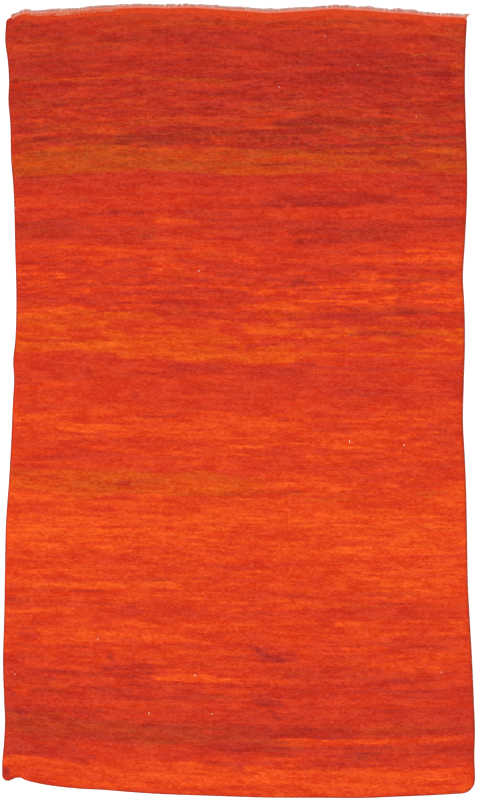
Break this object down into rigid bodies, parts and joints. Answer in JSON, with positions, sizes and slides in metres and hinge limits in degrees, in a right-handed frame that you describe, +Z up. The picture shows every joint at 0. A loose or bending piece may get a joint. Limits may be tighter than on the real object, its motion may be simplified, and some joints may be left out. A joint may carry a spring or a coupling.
{
  "type": "moroccan pile rug",
  "caption": "Hand-knotted wool rug lying flat, in streaked orange, crimson and gold bands, with wavering sides, a short flat-woven end and a twined strip with cut warp fringe along it.",
  "frame": {"origin": "on the floor under the middle of the rug's box, fringe included", "axes": "+X across the rug, +Y along it towards the fringed end, +Z up out of the pile"},
  "size_m": [1.655, 2.7822, 0.0149],
  "materials": {
    "pile_wool": "matt clipped wool pile, streaked orange-red to crimson with gold and brown",
    "twined_wool": "matt salmon twined wool with pale, fuzzy cut ends"
  },
  "bodies": {
    "root": {"rug_body": "pile_wool", "twined_fringe": "twined_wool"}
  },
  "joints": []
}
